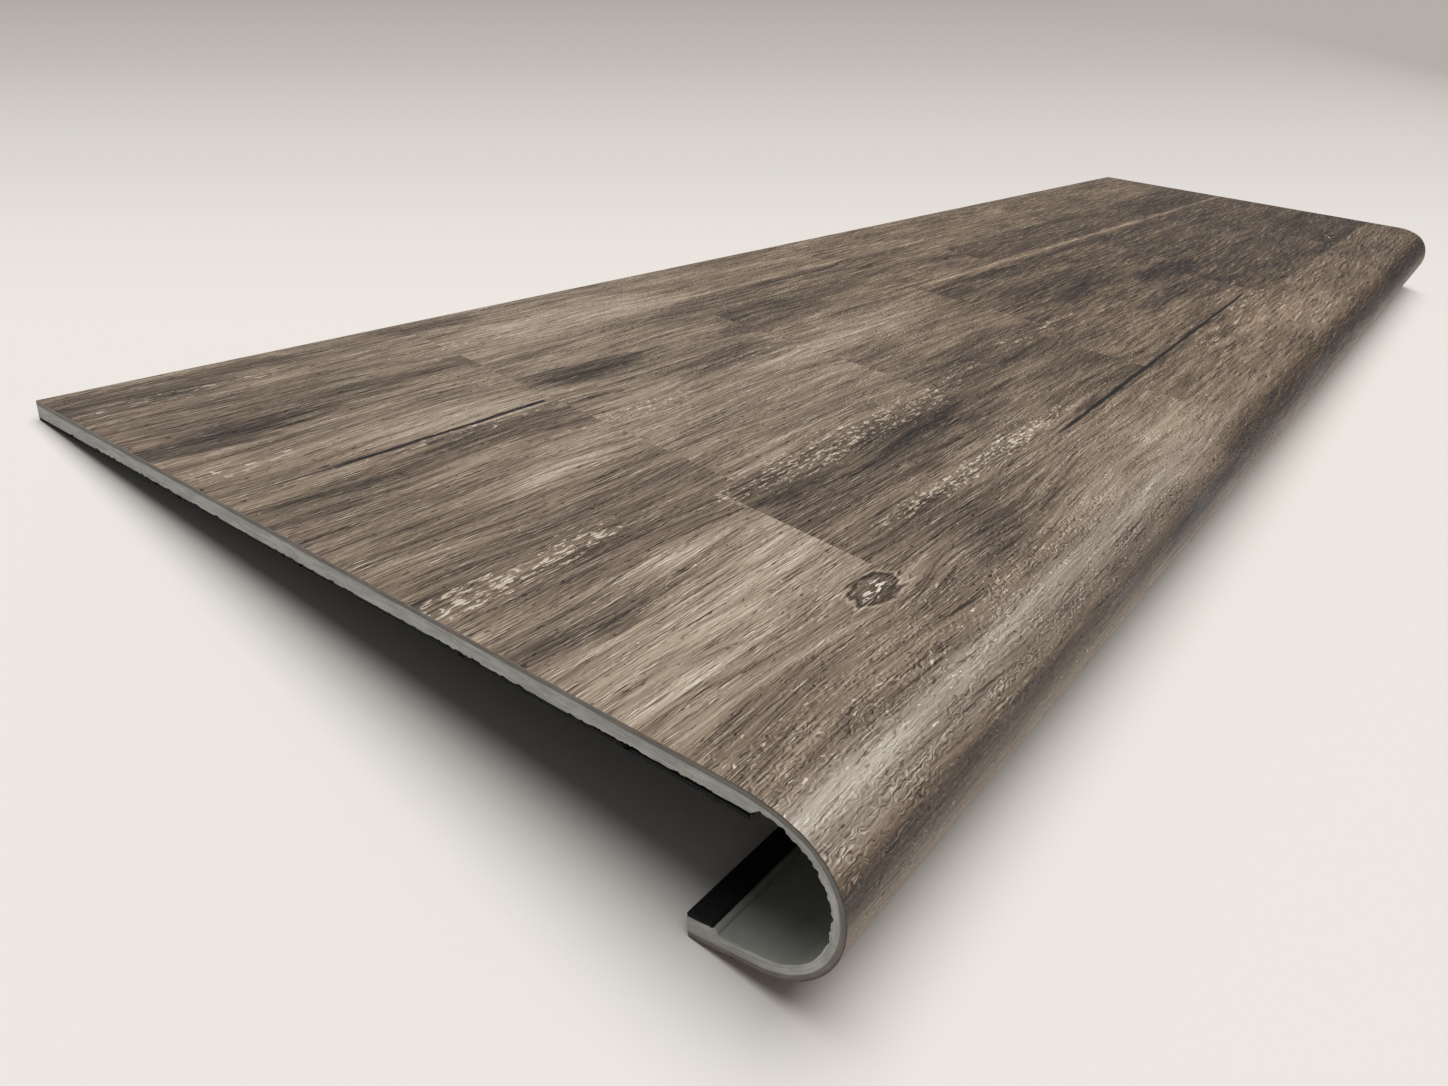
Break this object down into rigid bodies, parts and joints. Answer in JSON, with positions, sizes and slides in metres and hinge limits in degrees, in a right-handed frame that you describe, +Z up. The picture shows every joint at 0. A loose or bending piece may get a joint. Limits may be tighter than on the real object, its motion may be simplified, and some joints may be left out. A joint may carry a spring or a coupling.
{
  "type": "stair tread",
  "caption": "Laminated stair tread board with a wood-pattern face, a rounded nose bent down and back, and a lip that hooks under the stair's own nosing.",
  "frame": {"origin": "centre of the bounding box on the floor that the tread lies on", "axes": "+X along the tread's length, -Y out of the rounded nose, +Y to the back edge, +Z up; the tread lies face up on its back edge and on its lip, so the walking face leans 8.4 degrees down to the back"},
  "size_m": [1.05, 0.3002, 0.0465],
  "materials": {
    "printed_wood_film": "printed weathered-wood pattern under a matt embossed wear film",
    "dark_vinyl": "solid dark grey vinyl, saw-cut at the ends",
    "light_core": "solid light grey mineral-filled core, sawn and milled",
    "black_underlay": "matt black foam"
  },
  "bodies": {
    "root": {"wear_layer": "printed_wood_film", "vinyl_layer": "dark_vinyl", "rigid_core": "light_core", "underlay_sheet": "black_underlay", "underlay_strip": "black_underlay"}
  },
  "joints": []
}
